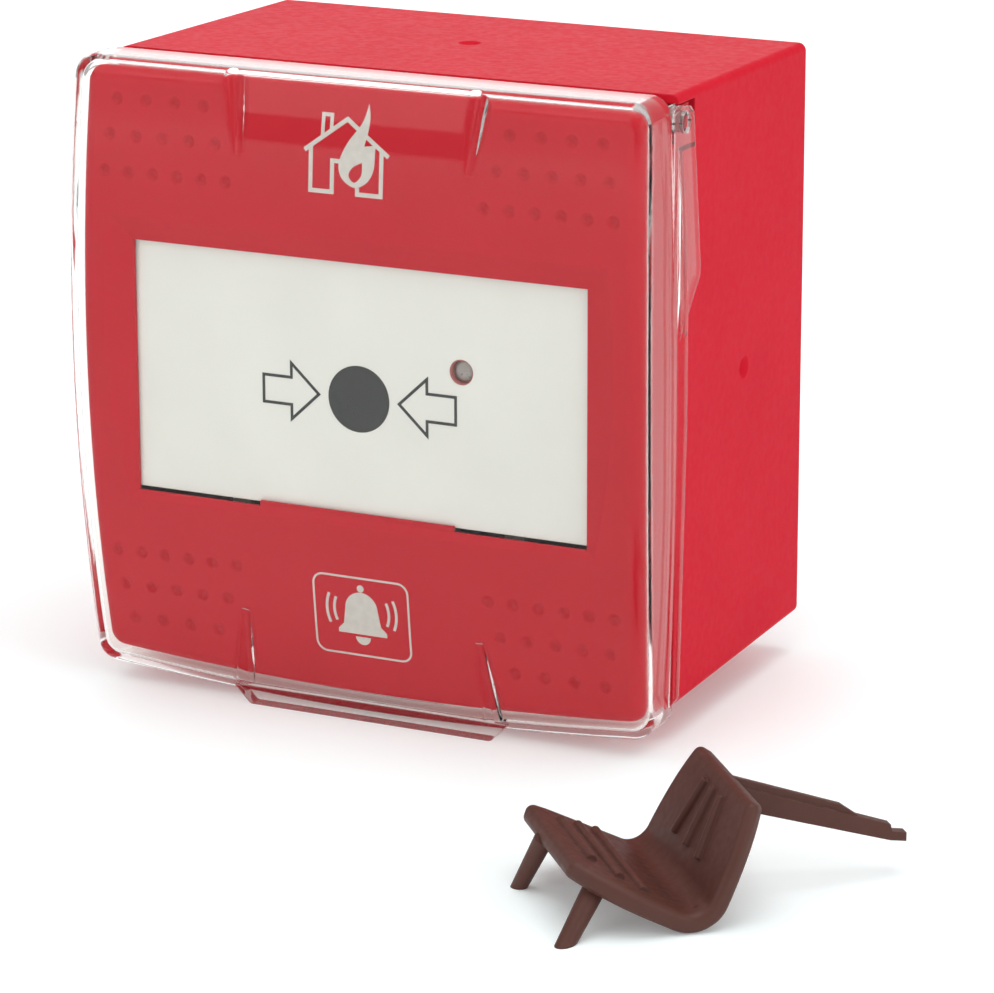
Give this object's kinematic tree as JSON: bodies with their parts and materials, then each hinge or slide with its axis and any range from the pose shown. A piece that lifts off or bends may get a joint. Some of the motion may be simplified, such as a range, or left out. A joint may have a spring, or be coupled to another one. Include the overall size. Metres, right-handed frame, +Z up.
{
  "type": "manual call point",
  "caption": "Red surface-mounted fire alarm call point with arched front, white press element, top-hinged clear cover, resetting mechanism behind it and a loose test key.",
  "frame": {"origin": "centre of the back box's rear face, on the wall", "axes": "+X to the right of a person facing the unit, +Y into the wall, +Z up"},
  "size_m": [0.1396, 0.126, 0.0944],
  "materials": {
    "red_plastic": "semi-gloss moulded ABS",
    "dark_plastic": "matt moulded",
    "zinc_steel": "bright zinc",
    "board_green": "solder resist",
    "green_plastic": "moulded",
    "brass": "tinned brass",
    "red_lens": "diffused lens",
    "clear_plastic": "clear polycarbonate",
    "resistor_body": "lacquered",
    "black_plastic": "moulded",
    "white_plastic": "fine matt",
    "spring_steel": "bright",
    "natural_plastic": "acetal",
    "yellow_plastic": "moulded",
    "brown_plastic": "fine spark-eroded grain"
  },
  "bodies": {
    "housing": {"back_box": "red_plastic", "chassis": "dark_plastic", "fascia": "red_plastic", "chassis_screws": "zinc_steel", "circuit_board": "board_green", "board_screws": "zinc_steel", "terminal_block": "green_plastic", "terminal_clamps": "brass", "terminal_screws": "zinc_steel", "indicator_led": "red_lens", "light_pipe": "clear_plastic", "resistors": "resistor_body", "switch_body": "black_plastic", "lever_pin": "spring_steel", "switch_terminals": "brass", "switch_screws": "zinc_steel", "drop_springs": "spring_steel"},
    "carriage": {"carrier": "natural_plastic", "carrier_pin": "spring_steel", "alarm_flag": "yellow_plastic"},
    "element": {"operating_element": "white_plastic"},
    "lever": {"switch_lever": "spring_steel"},
    "plunger": {"switch_plunger": "white_plastic"},
    "cam": {"reset_cam": "natural_plastic", "cam_clip": "spring_steel", "cam_spring": "spring_steel"},
    "cover": {"clear_cover": "clear_plastic", "cover_pins": "clear_plastic"},
    "key": {"test_key": "brown_plastic"}
  },
  "joints": [
    {"name": "cover_hinge", "type": "hinge", "parent": "housing", "child": "cover", "pos_m": [0, -0.0488, 0.0408], "axis": [-1, 0, 0], "range_deg": [0, 85]},
    {"name": "carrier_drop", "type": "slide", "parent": "housing", "child": "carriage", "axis": [0, 0, -1], "range_m": [0, 0.005], "deforming": ["drop_springs"]},
    {"name": "element_tilt", "type": "hinge", "parent": "carriage", "child": "element", "pos_m": [0, -0.0556, 0.0184], "axis": [1, 0, 0], "range_deg": [0, 4.5]},
    {"name": "lever_swing", "type": "hinge", "parent": "housing", "child": "lever", "pos_m": [-0.018, -0.0422, -0.0117], "axis": [0, 1, 0], "range_deg": [0, 10]},
    {"name": "plunger_press", "type": "slide", "parent": "housing", "child": "plunger", "axis": [0, 0, -1], "range_m": [0, 0.0011]},
    {"name": "cam_turn", "type": "hinge", "parent": "housing", "child": "cam", "pos_m": [0, -0.0529, -0.037], "axis": [0, 0, 1], "range_deg": [0, 90], "stiffness_Nm_per_rad": 0.004},
    {"name": "key_lift", "type": "slide", "parent": "housing", "child": "key", "axis": [0, 0, 1], "range_m": [0, 0.08]}
  ],
  "couplings": [
    {"joint": "element_tilt", "follows": "carrier_drop", "rad_per_m": 15.7},
    {"joint": "lever_swing", "follows": "carrier_drop", "rad_per_m": 34.9},
    {"joint": "plunger_press", "follows": "carrier_drop", "ratio": 0.22}
  ]
}
